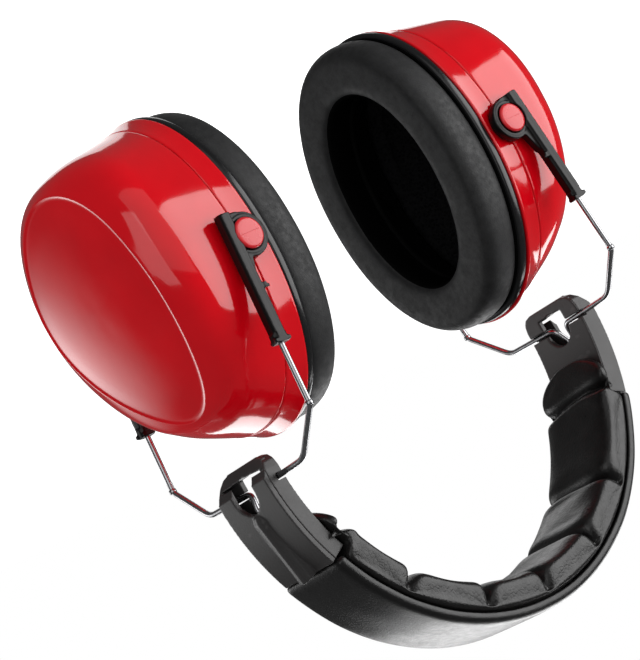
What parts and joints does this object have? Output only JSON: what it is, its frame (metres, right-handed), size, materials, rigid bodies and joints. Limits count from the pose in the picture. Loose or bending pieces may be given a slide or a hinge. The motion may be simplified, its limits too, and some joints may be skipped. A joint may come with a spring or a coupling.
{
  "type": "earmuff hearing protector",
  "caption": "Padded wire headband carrying two hard, foam-lined oval ear cups with soft sealing cushions that slide and tilt to fit the wearer.",
  "frame": {"origin": "centre of the wearer's head: midway between the cups, on the line through their pivots", "axes": "+X to the right cup, +Y to the front, +Z to the crown of the headband"},
  "size_m": [0.192, 0.0876, 0.2023],
  "materials": {
    "button_red": "satin moulded plastic with a low dome",
    "cup_red": "high-gloss moulded plastic",
    "hanger_black": "satin moulded plastic",
    "backplate_black": "polished moulded plastic",
    "end_cover_grey": "satin moulded plastic",
    "spring_steel": "bright drawn stainless spring wire",
    "band_vinyl": "smooth satin vinyl",
    "pad_leatherette": "soft pleated leatherette",
    "cushion_vinyl": "soft matte vinyl skin",
    "foam": "open-cell foam"
  },
  "bodies": {
    "headband": {"band_outer_cover": "band_vinyl", "band_pad_cover": "pad_leatherette", "band_pad_foam": "foam", "front_spring_wire": "spring_steel", "rear_spring_wire": "spring_steel", "left_end_cover_outer": "end_cover_grey", "left_end_cover_inner": "end_cover_grey", "right_end_cover_outer": "end_cover_grey", "right_end_cover_inner": "end_cover_grey"},
    "left_hangers": {"left_front_hanger": "hanger_black", "left_rear_hanger": "hanger_black"},
    "right_hangers": {"right_front_hanger": "hanger_black", "right_rear_hanger": "hanger_black"},
    "left_cup": {"left_cup_shell": "cup_red", "left_cup_rim": "cup_red", "left_backplate": "backplate_black", "left_cushion_cover": "cushion_vinyl", "left_cushion_foam": "foam", "left_foam_liner": "foam", "left_front_button": "button_red", "left_rear_button": "button_red"},
    "right_cup": {"right_cup_shell": "cup_red", "right_cup_rim": "cup_red", "right_backplate": "backplate_black", "right_cushion_cover": "cushion_vinyl", "right_cushion_foam": "foam", "right_foam_liner": "foam", "right_front_button": "button_red", "right_rear_button": "button_red"}
  },
  "joints": [
    {"name": "left_height", "type": "slide", "parent": "headband", "child": "left_hangers", "axis": [0.0958, 0, -0.9954], "range_m": [-0.006, 0.014]},
    {"name": "left_tilt", "type": "hinge", "parent": "left_hangers", "child": "left_cup", "pos_m": [-0.063, 0, 0], "axis": [0, 1, 0], "range_deg": [-12, 12]},
    {"name": "right_height", "type": "slide", "parent": "headband", "child": "right_hangers", "axis": [-0.0958, 0, -0.9954], "range_m": [-0.006, 0.014]},
    {"name": "right_tilt", "type": "hinge", "parent": "right_hangers", "child": "right_cup", "pos_m": [0.063, 0, 0], "axis": [0, 1, 0], "range_deg": [-12, 12]}
  ]
}
